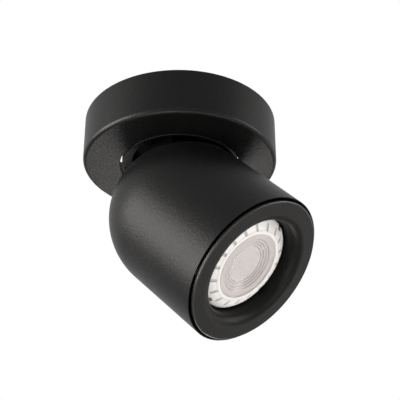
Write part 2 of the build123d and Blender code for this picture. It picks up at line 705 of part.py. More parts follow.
def lampholder():
    """Ceramic block with two keyhole tracks for the lamp's pins and two lead holes in its back."""
    block = slab((-HOLDER_X, HOLDER_X), (-HOLDER_Y, HOLDER_Y), (HOLDER_Z, HOLDER_TOP))
    block = fillet(block.edges().filter_by(Axis.Z), HOLDER_EDGE)
    face_top = HOLDER_Z + HOLDER_FACE_T
    release = radians(90 - LAMP_TWIST)
    entry = (PIN_AT * cos(release), PIN_AT * sin(release))
    track = pin_track(2 * (PIN_NECK_R + BODY_GAP), HOLDER_Z, face_top)
    track += rod(PIN_FOOT_R + BODY_GAP, HOLDER_Z, face_top, entry)
    track += pin_track(2 * (PIN_FOOT_R + BODY_GAP), face_top, CAVITY_TOP)
    for copy in around(track, 2):
        block -= copy
    for side in (-1, 1):
        at = (side * HOLDER_LEAD_AT[0], HOLDER_LEAD_AT[1])
        block -= rod(LEAD_R + BODY_GAP, HOLDER_TOP - HOLDER_LEAD_L, HOLDER_TOP, at)
    for y in HOLDER_SCREWS_Y:
        block -= rod(SCREW_R + SCREW_FIT, HOLDER_TOP - HOLDER_SCREW_L + PLATE, HOLDER_TOP, (0, y))
    return block


def holder_contacts():
    """Two contact discs at the back of the pin tracks."""
    middle = radians(90 - LAMP_TWIST / 2)
    at = (PIN_AT * cos(middle), PIN_AT * sin(middle))
    return around(rod(PIN_FOOT_R, CAVITY_TOP - CONTACT_T, CAVITY_TOP, at), 2)


def holder_bracket():
    """Flat plate from the lampholder's back to the boss in the dome."""
    plate = slab((-HOLDER_X, HOLDER_X), (BRACKET_START_Y, BOSS_END_Y), (HOLDER_TOP, HOLDER_TOP + PLATE))
    plate = fillet(plate.edges().filter_by(Axis.Z), BRACKET_EDGE)
    places = [(-BOSS_SCREW_X, BOSS_SCREW_Y), (BOSS_SCREW_X, BOSS_SCREW_Y)]
    places += [(0, y) for y in HOLDER_SCREWS_Y]
    for at in places:
        plate -= rod(SCREW_R + SCREW_FIT, HOLDER_TOP, HOLDER_TOP + PLATE, at)
    return plate


def bracket_screws():
    """Two pan-head screws up through the bracket into the dome's boss."""
    screw = Pos(0, 0, HOLDER_TOP) * Rot(180, 0, 0) * pan_screw(SCREW_R, BOSS_SCREW_L)
    return [Pos(side * BOSS_SCREW_X, BOSS_SCREW_Y, 0) * screw for side in (-1, 1)]


def holder_screws():
    """Two pan-head screws down through the bracket into the lampholder."""
    return [Pos(0, y, HOLDER_TOP + PLATE) * pan_screw(SCREW_R, HOLDER_SCREW_L) for y in HOLDER_SCREWS_Y]


# Front ring, in the head's frame

def front_ring():
    """Thin ring: flat flange, trumpet lip into the throat, and a skirt that enters the head's bore."""
    throat_out = THROAT_R + SHEET
    skirt_in = SKIRT_R - SHEET
    outline = [(THROAT_R, THROAT_L), (THROAT_R, 0), (FLANGE_R, 0), (FLANGE_R, FLANGE_T), (SKIRT_R, FLANGE_T)]
    outline += [(SKIRT_R, SKIRT_L), (skirt_in, SKIRT_L), (skirt_in, SHEET), (throat_out, SHEET)]
    outline += [(throat_out, THROAT_L)]
    lip_inside = min(LIP_R - SHEET, LIP_WALL_SHARE * (skirt_in - throat_out))
    ring = turned(behind(outline), [(1, LIP_R), (2, FLANGE_EDGE), (8, lip_inside)])
    hole = cross_rod(RIVET_R + SCREW_FIT, skirt_in - SHEET, SKIRT_R + SHEET, back(RIVET_AT))
    for copy in around(hole, LEAVES, LEAF_TURN):
        ring -= copy
    return ring


def leaf_spring():
    """Bowed leaf with a flat foot on the skirt, crowning towards the head's bore."""
    top = SKIRT_R + LEAF_T
    crown = LEAF_CROWN_R
    start = back(LEAF_START)
    foot = back(LEAF_START + LEAF_FOOT)
    peak = foot + LEAF_BOW / 2
    end = foot + LEAF_BOW
    base = Polyline((SKIRT_R, foot), (SKIRT_R, start), (top, start), (top, foot))
    bow = ThreePointArc((top, foot), (crown, peak), (top, end))
    tail = Line((top, end), (SKIRT_R, end))
    under = ThreePointArc((SKIRT_R, end), (crown - LEAF_T, peak), (SKIRT_R, foot))
    section = Plane.XZ * make_face([*base.edges(), bow, tail, under])
    leaf = Rot(0, 0, -LEAF_HALF_ANGLE) * revolve(section, Axis.Z, 2 * LEAF_HALF_ANGLE)
    return leaf - cross_rod(RIVET_R + SCREW_FIT, SKIRT_R - LEAF_T, top + LEAF_T, back(RIVET_AT))


def spring_rivet():
    """Rivet along X through the leaf's foot and the skirt, with a little play under its heads."""
    inside = SKIRT_R - SHEET - BODY_GAP
    outside = SKIRT_R + LEAF_T + SCREW_FIT
    height = back(RIVET_AT)
    rivet = cross_rod(RIVET_R, inside, outside, height)
    rivet += cross_rod(RIVET_HEAD_R, inside - RIVET_HEAD_H, inside, height)
    return rivet + cross_rod(RIVET_HEAD_R, outside, outside + RIVET_HEAD_H, height)


# Lamp, in the head's frame

def lamp_notches():
    """Cutters for the finger notches, through the whole of the lamp's edge."""
    depth = (back(LAMP_NOSE), back(LAMP_RIM))
    notch = slab((LAMP_R - NOTCH_IN, LAMP_R + NOTCH_IN), (-NOTCH_W / 2, NOTCH_W / 2), depth)
    return around(notch, NOTCHES, NOTCH_TURN)


def lamp_front():
    """White face ring: raised nose round the lens, sloped annulus with shallow vents, notched rim."""
    nose_in = LENS_R + LENS_GAP
    nose_out = nose_in + LAMP_NOSE_W
    rim_in = LAMP_R - LAMP_WALL
    shoulder = LAMP_R - LAMP_SHOULDER_IN
    inner_top = LAMP_SHOULDER + LAMP_WALL
    outline = [(nose_in, NOSE_BACK), (nose_in, LAMP_NOSE), (nose_out, LAMP_NOSE), (shoulder, LAMP_SHOULDER)]
    outline += [(LAMP_R, LAMP_SHOULDER + LAMP_SHOULDER_IN), (LAMP_R, LAMP_SKIRT), (rim_in, LAMP_SKIRT)]
    outline += [(rim_in, inner_top), (nose_out, LAMP_NOSE + LAMP_NOSE_WALL), (nose_out, NOSE_BACK)]
    face = turned(behind(outline), [(1, LAMP_NOSE_EDGE), (2, LAMP_NOSE_EDGE)])
    band = [(nose_out, LAMP_NOSE - LAMP_WALL), (shoulder, LAMP_SHOULDER - LAMP_WALL)]
    band += [(shoulder, LAMP_SHOULDER + VENT_DEEP), (nose_out, LAMP_NOSE + VENT_DEEP)]
    vent = Pos(VENT_AT, 0, back(LAMP_NOSE)) * extrude(SlotOverall(VENT_L, VENT_W), LAMP_SHOULDER)
    for copy in around(vent & turned(behind(band)), VENTS, 180 / VENTS) + lamp_notches():
        face -= copy
    return face


def lamp_body():
    """Hollow cone with a board ledge, a notched rim, cooling fins and a flattened plug end."""
    rim_in = LAMP_R - LAMP_WALL - LENS_GAP
    seat_r = BOARD_R + LENS_GAP
    top = LAMP_SHOULDER + LAMP_WALL + BODY_GAP
    cone_in = seat_r - 2 * LAMP_WALL
    neck_in = LAMP_NECK_R - LAMP_WALL
    closed = LAMP_NECK + 2 * LAMP_WALL
    outline = [(rim_in, top), (rim_in, LAMP_SKIRT), (LAMP_R, LAMP_SKIRT), (LAMP_R, LAMP_RIM)]
    outline += [(LAMP_CONE_R, LAMP_RIM), (LAMP_NECK_R, LAMP_NECK), (LAMP_NECK_R, closed), (0, closed)]
    outline += [(0, LAMP_NECK), (neck_in, LAMP_NECK), (cone_in, LAMP_LEDGE), (seat_r, LAMP_LEDGE)]
    outline += [(seat_r, top)]
    body = turned(behind(outline))
    fin_in = LAMP_CONE_R - LAMP_WALL
    fin_top = (LAMP_LEDGE + LAMP_RIM) / 2
    fin_outline = [(LAMP_R - LENS_GAP, fin_top), (LAMP_NECK_R + LAMP_WALL, LAMP_NECK - LAMP_WALL)]
    fin_outline += [(LAMP_NECK_R - LAMP_WALL / 2, LAMP_NECK), (fin_in, LAMP_RIM + LAMP_WALL)]
    fin_outline += [(seat_r, fin_top)]
    fin = extrude(Plane.XZ * rounded(behind(fin_outline)), FIN_T / 2, both=True)
    for copy in around(fin, FINS, NOTCH_TURN + 180 / FINS):
        body += copy
    for copy in lamp_notches():
        body -= copy
    plug_top = LAMP_NECK + LAMP_WALL
    plug_outline = [(0, plug_top), (PLUG_R, plug_top), (PLUG_R, LAMP_BASE), (0, LAMP_BASE)]
    plug = turned(behind(plug_outline), [(2, PLUG_EDGE)])
    plug &= slab((-PLUG_HALF, PLUG_HALF), (-LAMP_R, LAMP_R), (back(LAMP_NECK), back(LAMP_BASE + PLUG_EDGE)))
    return body + plug


def lamp_lens():
    """Clear lens that steps down ring by ring to a flat middle."""
    outline = [(0, LENS_BACK), (LENS_R, LENS_BACK)]
    for step in range(LENS_STEPS):
        depth = LENS_RIM + step * LENS_STEP_DOWN
        radius = LENS_R - step * LENS_STEP_IN
        outline.append((radius, depth))
        outline.append((radius - LENS_STEP_IN, depth))
    last = LENS_RIM + LENS_STEPS * LENS_STEP_DOWN
    outline.append((LENS_R - LENS_STEPS * LENS_STEP_IN, last))
    outline.append((0, last))
    return turned(behind(outline))


def led_chips():
    """Small packages on the board: one in the middle and a ring of six."""
    half = (-CHIP_W / 2, CHIP_W / 2)
    chip = slab(half, half, (back(BOARD_AT - CHIP_H), back(BOARD_AT)))
    return [chip] + around(Pos(CHIP_AT, 0, 0) * chip, 6)


def lamp_pins():
    """Two bayonet pins: a neck and a wider foot."""
    low = back(LAMP_BASE)
    foot = low + PIN_L - PIN_FOOT_L
    top = low + PIN_L
    outline = [(0, low), (PIN_NECK_R, low), (PIN_NECK_R, foot)]
    outline += [(PIN_FOOT_R, foot), (PIN_FOOT_R, top), (0, top)]
    return around(Pos(0, PIN_AT, 0) * turned(outline, [(4, PIN_EDGE)]), 2)


os.makedirs("parts", exist_ok=True)

# Canopy body
bar_screw = Pos(BAR_POST_AT, 0, BAR_TOP) * pan_screw(SCREW_R, BAR_SCREW_L)
save("canopy_shell", canopy_shell())
save("ceiling_bracket", ceiling_bracket())
save("side_screws", around(side_screw(), 2))
save("cross_bar", cross_bar())
save("cross_bar_screws", around(bar_screw, 2, BAR_ANGLE))
save("terminal_block", terminal_block())
save("clamp_screws", clamp_screws())
save("block_screw", Pos(*BLOCK_SCREW_AT, 0) * flat_screw(SCREW_R, BLOCK_SCREW_L, FLAT_HEAD_R))
save("earth_screw", earth_screw())
save("earth_tag", earth_tag())
save("earth_lead", earth_lead())
save("live_lead", mains_lead(-1))
save("neutral_lead", mains_lead(1))

# Swivel body
post_screw = Pos(RING_POST_AT, 0, BRIDGE_TOP) * flat_screw(POST_SCREW_R, POST_SCREW_L, POST_SCREW_HEAD_R)
save("swivel_ring", swivel_ring(), SWIVEL)
save("bridge", bridge(), SWIVEL)
save("bridge_screws", around(post_screw, 2), SWIVEL)
save("yoke", yoke(), SWIVEL)
save("swivel_bolt", swivel_bolt(), SWIVEL)
save("slip_washer", tube(WASHER_R, BOLT_R + SCREW_FIT, BRIDGE_TOP, SLIP_TOP), SWIVEL)
save("flat_washer", tube(WASHER_R, BOLT_R + SCREW_FIT, BAR_TOP, WASHER_TOP), SWIVEL)
save("dished_washer", dished_washer(DISH_R, BOLT_R + SCREW_FIT, WASHER_TOP, DISH_T), SWIVEL)
save("lock_nut", lock_nut(), SWIVEL)
save("stop_stud", rod(STOP_R, YOKE_TOP, BRIDGE_TOP + STOP_H, (-STOP_AT, 0)), SWIVEL)
save("lamp_leads", [lamp_lead(1), lamp_lead(-1)], SWIVEL)

# Head body
save("head_housing", head_housing(), HEAD)
save("pivot_screws", around(pivot_screw(), 2), HEAD)
save("pivot_springs", around(pivot_spring(), 2), HEAD)
save("pivot_washers", around(pivot_washer(), 2), HEAD)
save("lampholder", lampholder(), HEAD)
save("holder_contacts", holder_contacts(), HEAD)
save("holder_bracket", holder_bracket(), HEAD)
save("bracket_screws", bracket_screws(), HEAD)
save("holder_screws", holder_screws(), HEAD)

# Front ring body
save("front_ring", front_ring(), HEAD)
save("leaf_springs", around(leaf_spring(), LEAVES, LEAF_TURN), HEAD)
save("spring_rivets", around(spring_rivet(), LEAVES, LEAF_TURN), HEAD)

# Lamp body
save("lamp_body", lamp_body(), HEAD)
save("lamp_front", lamp_front(), HEAD)
save("lamp_lens", lamp_lens(), HEAD)
save("led_board", rod(BOARD_R, back(BOARD_AT), back(BOARD_AT + BOARD_T)), HEAD)
save("led_chips", led_chips(), HEAD)
save("lamp_pins", lamp_pins(), HEAD)
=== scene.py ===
"""Looks of a surface ceiling spotlight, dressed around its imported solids.

The solids keep their shapes and get their finishes here. The lens with its lenslets and the leads are
modelled anew. Metres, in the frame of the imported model.
"""

import json
import logging
import math
from dataclasses import dataclass, field
from enum import Enum
from typing import Any, Callable, Iterable, Optional, Union

import bpy
from mathutils import Matrix, Vector


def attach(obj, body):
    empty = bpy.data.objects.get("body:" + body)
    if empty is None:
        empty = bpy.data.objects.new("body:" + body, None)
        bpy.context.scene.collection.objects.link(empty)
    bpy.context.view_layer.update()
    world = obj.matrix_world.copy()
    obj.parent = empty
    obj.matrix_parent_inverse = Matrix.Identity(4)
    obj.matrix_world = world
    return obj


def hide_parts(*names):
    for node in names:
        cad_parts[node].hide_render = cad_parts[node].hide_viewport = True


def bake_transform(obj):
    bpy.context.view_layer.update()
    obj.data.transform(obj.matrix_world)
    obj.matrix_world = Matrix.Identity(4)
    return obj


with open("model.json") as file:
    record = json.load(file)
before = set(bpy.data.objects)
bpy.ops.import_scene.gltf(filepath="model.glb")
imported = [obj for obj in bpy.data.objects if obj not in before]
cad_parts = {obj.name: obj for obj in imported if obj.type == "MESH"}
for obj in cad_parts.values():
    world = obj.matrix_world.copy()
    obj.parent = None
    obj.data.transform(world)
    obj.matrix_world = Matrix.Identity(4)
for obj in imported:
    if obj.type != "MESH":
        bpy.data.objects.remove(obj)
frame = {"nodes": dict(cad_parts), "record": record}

LOG = logging.getLogger("spotlight")
MM = 0.001
BORE_JOIN_Z = -11.483 * MM
BORE_OFFSET = 1.4 * MM
WHITE = (1.0, 1.0, 1.0, 1.0)
Colour = tuple[float, float, float]
Point = tuple[float, float, float]
Limits = tuple[float, float]


class Signal:
    """A node socket that takes part in Python arithmetic."""

    def __init__(self, graph: "Graph", socket: bpy.types.NodeSocket) -> None:
        """Keep the socket and the graph it belongs to.

        Args:
            graph: The graph that new nodes go into.
            socket: The output socket that is wrapped.
        """
        self.graph = graph
        self.socket = socket

    def _math(self, operation: str, first: "Operand", second: "Operand") -> "Signal":
        """Add one Math node.

        Args:
            operation: The node's operation.
            first: Its first operand.
            second: Its second operand.

        Returns:
            The result.
        """
        return self.graph.node("ShaderNodeMath", {"operation": operation}, {0: first, 1: second})

    def __add__(self, other: "Operand") -> "Signal":
        """Sum."""
        return self._math("ADD", self, other)

    def __radd__(self, other: "Operand") -> "Signal":
        """Sum with a number on the left."""
        return self._math("ADD", other, self)

    def __sub__(self, other: "Operand") -> "Signal":
        """Difference."""
        return self._math("SUBTRACT", self, other)

    def __rsub__(self, other: "Operand") -> "Signal":
        """Difference from a number on the left."""
        return self._math("SUBTRACT", other, self)

    def __mul__(self, other: "Operand") -> "Signal":
        """Product."""
        return self._math("MULTIPLY", self, other)

    def __rmul__(self, other: "Operand") -> "Signal":
        """Product with a number on the left."""
        return self._math("MULTIPLY", other, self)

    def __pow__(self, other: "Operand") -> "Signal":
        """Power."""
        return self._math("POWER", self, other)

    def __rpow__(self, other: "Operand") -> "Signal":
        """Power of a number on the left."""
        return self._math("POWER", other, self)

    def most(self, other: "Operand") -> "Signal":
        """The larger of two values."""
        return self._math("MAXIMUM", self, other)

    def step(self, low: float, high: float) -> "Signal":
        """Smooth step from 0 at low to 1 at high.

        Args:
            low: Value that gives 0.
            high: Value that gives 1.

        Returns:
            The stepped value.
        """
        settings = {"interpolation_type": "SMOOTHSTEP"}
        sockets = {"Value": self, "From Min": low, "From Max": high}
        return self.graph.node("ShaderNodeMapRange", settings, sockets)


Operand = Union[Signal, float]


class Graph:
    """A node tree with one method that adds any node."""

    FIRST_COLOUR: int = 6
    SECOND_COLOUR: int = 7
    MIXED_COLOUR: int = 2
    NEAR_SAMPLES: int = 8

    def __init__(self, tree: bpy.types.NodeTree) -> None:
        """Empty the tree.

        Args:
            tree: The node tree to fill.
        """
        self.tree = tree
        self.tree.nodes.clear()

    def node(self, kind: str, settings: Optional[dict[str, Any]] = None,
             sockets: Optional[dict[Union[str, int], Any]] = None, out: Union[str, int] = 0) -> Signal:
        """Add a node, set it up and feed it.

        Args:
            kind: The node's type.
            settings: Its properties, by name.
            sockets: Values or signals for its inputs, by name or number.
            out: The output to return, by name or number.

        Returns:
            The chosen output.
        """
        made = self.tree.nodes.new(kind)
        for name, value in (settings or {}).items():
            setattr(made, name, value)
        for key, value in (sockets or {}).items():
            if isinstance(value, Signal):
                self.tree.links.new(value.socket, made.inputs[key])
            else:
                made.inputs[key].default_value = value
        return Signal(self, made.outputs[out]) if made.outputs else Signal(self, made.inputs[0])

    def place(self) -> Signal:
        """Object coordinates of the surface."""
        return self.node("ShaderNodeTexCoord", out="Object")

    def mapped(self, scale: Point, turn: Point = (0.0, 0.0, 0.0)) -> Signal:
        """Object coordinates, turned and stretched.

        Args:
            scale: Stretch along each axis.
            turn: Turn about each axis, in degrees.

        Returns:
            The mapped coordinates.
        """
        angles = [math.radians(angle) for angle in turn]
        sockets = {"Vector": self.place(), "Rotation": angles, "Scale": scale}
        return self.node("ShaderNodeMapping", {}, sockets)

    def from_axis(self, place: Matrix) -> tuple[Signal, Signal]:
        """Distance from the Z axis of a sub-assembly's own frame, and height along it.

        Args:
            place: Where that frame stands.

        Returns:
            The distance and the height, in metres.
        """
        back = place.inverted()
        sockets = {"Vector": self.place(), "Location": back.translation, "Rotation": back.to_euler()}
        local = self.node("ShaderNodeMapping", {}, sockets)
        x, y, z = (self.node("ShaderNodeSeparateXYZ", {}, {0: local}, name) for name in "XYZ")
        return (x * x + y * y) ** 0.5, z

    def noise(self, scale: float, detail: float = 2.0, at: Optional[Signal] = None) -> Signal:
        """Noise between about 0 and 1.

        Args:
            scale: Features per metre.
            detail: Octaves.
            at: Coordinates, Object ones if left out.

        Returns:
            The noise value.
        """
        inputs = {"Vector": at or self.place(), "Scale": scale, "Detail": detail}
        return self.node("ShaderNodeTexNoise", {}, inputs, "Fac")

    def blend(self, share: Operand, first: Union[Signal, Colour], second: Union[Signal, Colour]) -> Signal:
        """Mix of two colours.

        Args:
            share: How much of the second colour.
            first: The first colour.
            second: The second colour.

        Returns:
            The mixed colour.
        """
        colours = [c if isinstance(c, Signal) else (*c, 1.0) for c in (first, second)]
        sockets = {"Factor": share, self.FIRST_COLOUR: colours[0], self.SECOND_COLOUR: colours[1]}
        return self.node("ShaderNodeMix", {"data_type": "RGBA"}, sockets, self.MIXED_COLOUR)

    def openness(self, reach: float) -> Signal:
        """How open the surface is, from 0 in a narrow hollow to 1; the finishes paint shade with it.

        Args:
            reach: How far the piece's own walls count, in metres.

        Returns:
            The openness.
        """
        settings = {"samples": self.NEAR_SAMPLES, "only_local": True}
        return self.node("ShaderNodeAmbientOcclusion", settings, {"Distance": reach}, "AO")

    def edge(self, reach: float) -> Signal:
        """How near an outer edge of the piece is, from 0 on an open face to 1.

        Args:
            reach: How far in from an edge counts, in metres.

        Returns:
            The nearness.
        """
        settings = {"samples": self.NEAR_SAMPLES, "only_local": True, "inside": True}
        return 1.0 - self.node("ShaderNodeAmbientOcclusion", settings, {"Distance": reach}, "AO")

    def bump(self, height: Signal, depth: float, strength: float = 1.0) -> Signal:
        """Normal of a rough surface.

        Args:
            height: Height from 0 to 1.
            depth: Real depth in metres.
            strength: How much of it shows.

        Returns:
            The bumped normal.
        """
        return self.node("ShaderNodeBump", {}, {"Height": height, "Distance": depth, "Strength": strength})


def shade(colour: Colour, gain: float) -> Colour:
    """A lighter or darker form of a colour.

    Args:
        colour: The colour.
        gain: Factor on each channel.

    Returns:
        The changed colour, kept within 0 and 1.
    """
    red, green, blue = (min(1.0, channel * gain) for channel in colour)
    return red, green, blue


@dataclass(frozen=True)
class Finish:
    """What every finish shares: a named material with one principled shader."""

    name: str
    colour: Colour
    roughness: float = 0.5
    metallic: float = 0.0
    specular: float = 0.5

    def material(self) -> bpy.types.Material:
        """Make the finish's material.

        Returns:
            The material, with its shader fed by surface().
        """
        made = bpy.data.materials.new(self.name)
        made.use_nodes = True
        graph = Graph(made.node_tree)
        sockets = {"Metallic": self.metallic, "Specular IOR Level": self.specular, **self.surface(graph)}
        shader = graph.node("ShaderNodeBsdfPrincipled", {}, sockets)
        graph.node("ShaderNodeOutputMaterial", {}, {"Surface": shader})
        return made

    def surface(self, graph: Graph) -> dict[str, Any]:
        """Values and signals for the shader's sockets.

        Args:
            graph: The material's graph.

        Returns:
            Socket names with what feeds them.
        """
        raise NotImplementedError


@dataclass(frozen=True)
class PowderCoat(Finish):
    """Fine-texture powder coat: grains over a faint orange peel, with dust and, where asked, rubbed edges."""

    grain: float = 950.0
    grain_step: Limits = (0.35, 0.75)
    grain_share: float = 0.5
    grain_lift: float = 1.7
    grain_height: float = 0.7
    peel: float = 260.0
    peel_height: float = 0.5
    drift: float = 28.0
    drift_step: Limits = (0.3, 0.7)
    darker: float = 0.86
    lighter: float = 1.16
    dust: float = 2600.0
    dust_step: Limits = (0.70, 0.80)
    dusty_step: Limits = (0.42, 0.62)
    dust_share: float = 0.35
    dust_lift: float = 5.0
    smoother: float = 0.08
    grain_rough: float = 0.12
    drift_rough: float = 0.06
    depth: float = 0.00015
    rubbed: float = 0.0
    rub_reach: float = 0.6 * MM
    rub_step: Limits = (0.02, 0.25)
    rub_out: float = 0.0
    rub_down: float = 12.0 * MM
    rub_fade: float = 4.0 * MM
    rub_roughness: float = 0.35
    rub_index: float = 2.2

    def worn(self, graph: Graph) -> Signal:
        """How much an edge is rubbed shiny, only on the outer lower edge if rub_out is given.

        Args:
            graph: The material's graph.

        Returns:
            The wear, from 0 to rubbed.
        """
        wear = graph.edge(self.rub_reach).step(*self.rub_step) * self.rubbed
        if not self.rub_out:
            return wear
        out, height = graph.from_axis(Matrix.Identity(4))
        outer = out.step(self.rub_out, self.rub_out + self.rub_fade)
        return wear * outer * (0.0 - height).step(self.rub_down, self.rub_down + self.rub_fade)

    def surface(self, graph: Graph) -> dict[str, Any]:
        """Grain, peel, drift of tone, specks of dust and edges rubbed shiny.

        Args:
            graph: The material's graph.

        Returns:
            Socket names with what feeds them.
        """
        grain = graph.noise(self.grain, detail=3.0)
        peel = graph.noise(self.peel, detail=2.0)
        drift = graph.noise(self.drift, detail=3.0)
        dust = graph.noise(self.dust, detail=1.0).step(*self.dust_step) * drift.step(*self.dusty_step)
        tones = (shade(self.colour, self.darker), shade(self.colour, self.lighter))
        tone = graph.blend(drift.step(*self.drift_step), *tones)
        grains = grain.step(*self.grain_step) * self.grain_share
        grainy = graph.blend(grains, tone, shade(self.colour, self.grain_lift))
        height = grain * self.grain_height + peel * self.peel_height
        sockets = {
            "Base Color": graph.blend(dust * self.dust_share, grainy, shade(self.colour, self.dust_lift)),
            "Roughness": self.roughness - self.smoother + grain * self.grain_rough + drift * self.drift_rough,
            "Normal": graph.bump(height, self.depth),
        }
        if self.rubbed:
            sockets["Coat Weight"] = self.worn(graph)
            sockets["Coat Roughness"] = self.rub_roughness
            sockets["Coat IOR"] = self.rub_index
        return sockets


@dataclass(frozen=True)
class PlatedSheet(Finish):
    """Zinc plated sheet: rolled streaks, passivation tint and handling scuffs."""

    tint: Colour = (0.58, 0.60, 0.50)
    streak: Point = (1200.0, 60.0, 1200.0)
    streak_rough: float = 0.16
    cloud: float = 45.0
    cloud_step: Limits = (0.35, 0.7)
    scuff: Point = (90.0, 900.0, 90.0)
    scuff_turn: Point = (0.0, 0.0, 35.0)
    scuff_step: Limits = (0.62, 0.72)
    scuff_share: float = 0.3
    scuff_lift: float = 1.3
    scuff_rough: float = 0.12
    smoother: float = 0.08
    depth: float = 0.00002
    depth_share: float = 0.6

    def surface(self, graph: Graph) -> dict[str, Any]:
        """Streaks, tint and scuffs.

        Args:
            graph: The material's graph.

        Returns:
            Socket names with what feeds them.
        """
        streak = graph.noise(1.0, 3.0, graph.mapped(self.streak))
        cloud = graph.noise(self.cloud, detail=3.0)
        scuff = graph.noise(1.0, 2.0, graph.mapped(self.scuff, self.scuff_turn)).step(*self.scuff_step)
        tinted = graph.blend(cloud.step(*self.cloud_step), self.colour, self.tint)
        rough = self.roughness + streak * self.streak_rough - self.smoother + scuff * self.scuff_rough
        return {
            "Base Color": graph.blend(scuff * self.scuff_share, tinted, shade(self.colour, self.scuff_lift)),
            "Roughness": rough,
            "Normal": graph.bump(streak, self.depth, self.depth_share),
        }


@dataclass(frozen=True)
class TurnedMetal(Finish):
    """Turned or pressed metal: fine tool lines round the axis and a faint bloom."""

    line: float = 4200.0
    across: float = 300.0
    line_rough: float = 0.12
    bloom: float = 160.0
    bloom_step: Limits = (0.35, 0.75)
    bloom_shade: float = 0.78
    bloom_rough: float = 0.10
    smoother: float = 0.10
    depth: float = 0.00001
    depth_share: float = 0.5

    def surface(self, graph: Graph) -> dict[str, Any]:
        """Tool lines and bloom.

        Args:
            graph: The material's graph.

        Returns:
            Socket names with what feeds them.
        """
        lines = graph.noise(1.0, 1.0, graph.mapped((self.across, self.across, self.line)))
        bloom = graph.noise(self.bloom, detail=3.0)
        dull = shade(self.colour, self.bloom_shade)
        return {
            "Base Color": graph.blend(bloom.step(*self.bloom_step), self.colour, dull),
            "Roughness": self.roughness + lines * self.line_rough + bloom * self.bloom_rough - self.smoother,
            "Normal": graph.bump(lines, self.depth, self.depth_share),
        }


@dataclass(frozen=True)
class Moulding(Finish):
    """Moulded plastic or fired ceramic: faint flow marks, fine texture, specks and optional painted shade in
    hollows.
    """

    texture: float = 1800.0
    texture_rough: float = 0.10
    smoother: float = 0.05
    depth: float = 0.00001
    flow: Point = (70.0, 70.0, 24.0)
    flow_step: Limits = (0.3, 0.7)
    flow_shade: float = 0.94
    # Shade painted into hollows: how far the walls count, the openness it fades over and how dark it gets; a
    # reach of 0 paints none.
    painted_shade_reach: float = 0.0
    painted_shade_step: Limits = (0.65, 0.98)
    painted_shade_gain: float = 0.80
    speck: float = 0.0
    speck_scale: float = 900.0
    speck_step: Limits = (0.70, 0.76)
    speck_shade: float = 0.45

    def surface(self, graph: Graph) -> dict[str, Any]:
        """Flow marks, texture, specks and painted shade in the crevices.

        Args:
            graph: The material's graph.

        Returns:
            Socket names with what feeds them.
        """
        flow = graph.noise(1.0, 3.0, graph.mapped(self.flow))
        fine = graph.noise(self.texture, detail=2.0)
        marked = graph.blend(flow.step(*self.flow_step), self.colour, shade(self.colour, self.flow_shade))
        # Painted shade: the colour darkens where the piece's own walls close round the surface.
        if self.painted_shade_reach:
            unshaded_share = graph.openness(self.painted_shade_reach).step(*self.painted_shade_step)
            marked = graph.blend(unshaded_share, shade(self.colour, self.painted_shade_gain), marked)
        specks = graph.noise(self.speck_scale, detail=1.0).step(*self.speck_step) * self.speck
        return {
            "Base Color": graph.blend(specks, marked, shade(self.colour, self.speck_shade)),
            "Roughness": self.roughness + fine * self.texture_rough - self.smoother,
            "Normal": graph.bump(fine, self.depth),
        }


@dataclass(frozen=True)
class LampFace(Moulding):
    """The lamp's face moulding, with painted shade on its nose round the lens and in its sunk vents."""

    nose_r: float = 18.9 * MM
    nose_depth: float = 5.2 * MM
    slope: float = 0.528
    vents_end: float = 23.2 * MM
    fade: float = 0.5 * MM
    sunk: float = 0.2 * MM
    # How grey the painted shade makes the nose and the vent floors.
    nose_painted_shade: float = 0.79
    vent_painted_shade: float = 0.70

    def surface(self, graph: Graph) -> dict[str, Any]:
        """The moulding with painted shade on its nose and in its vents.

        Args:
            graph: The material's graph.

        Returns:
            Socket names with what feeds them.
        """
        sockets = super().surface(graph)
        pose = RestPose()
        out, height = graph.from_axis(pose.head())
        face = (out - self.nose_r) * self.slope + (pose.front_z + self.nose_depth)
        below_face = (height - face).step(self.sunk, 2 * self.sunk)
        # Painted shade: the vent floors, sunk below the face, are greyed.
        vents = below_face * (1 - out.step(self.vents_end, self.vents_end + self.fade))
        plain = graph.blend(vents, sockets["Base Color"], shade(self.colour, self.vent_painted_shade))
        # Painted shade: the nose inside nose_r is greyed to even out the light it catches.
        past_nose = out.step(self.nose_r + self.fade / 2, self.nose_r + 2 * self.fade)
        sockets["Base Color"] = graph.blend(past_nose, shade(self.colour, self.nose_painted_shade), plain)
        return sockets


@dataclass(frozen=True)
class Insulation(Finish):
    """Extruded wire insulation with a soft sheen and, on the earth lead, a second colour in bands."""

    stripe: Optional[Colour] = None
    band: Point = (900.0, 120.0, 900.0)
    band_step: Limits = (-0.2, 0.2)
    texture: float = 700.0
    texture_step: Limits = (0.3, 0.7)
    texture_shade: float = 0.85
    texture_rough: float = 0.1
    depth: float = 0.00001

    def surface(self, graph: Graph) -> dict[str, Any]:
        """Extrusion marks and the stripe.

        Args:
            graph: The material's graph.

        Returns:
            Socket names with what feeds them.
        """
        fine = graph.noise(self.texture, detail=2.0)
        body = graph.blend(fine.step(*self.texture_step), self.colour, shade(self.colour, self.texture_shade))
        if self.stripe:
            across = graph.node("ShaderNodeSeparateXYZ", {}, {0: graph.mapped(self.band)}, "X")
            band = graph.node("ShaderNodeMath", {"operation": "SINE"}, {0: across}).step(*self.band_step)
            body = graph.blend(band, body, self.stripe)
        return {
            "Base Color": body,
            "Roughness": self.roughness + fine * self.texture_rough,
            "Normal": graph.bump(fine, self.depth),
        }


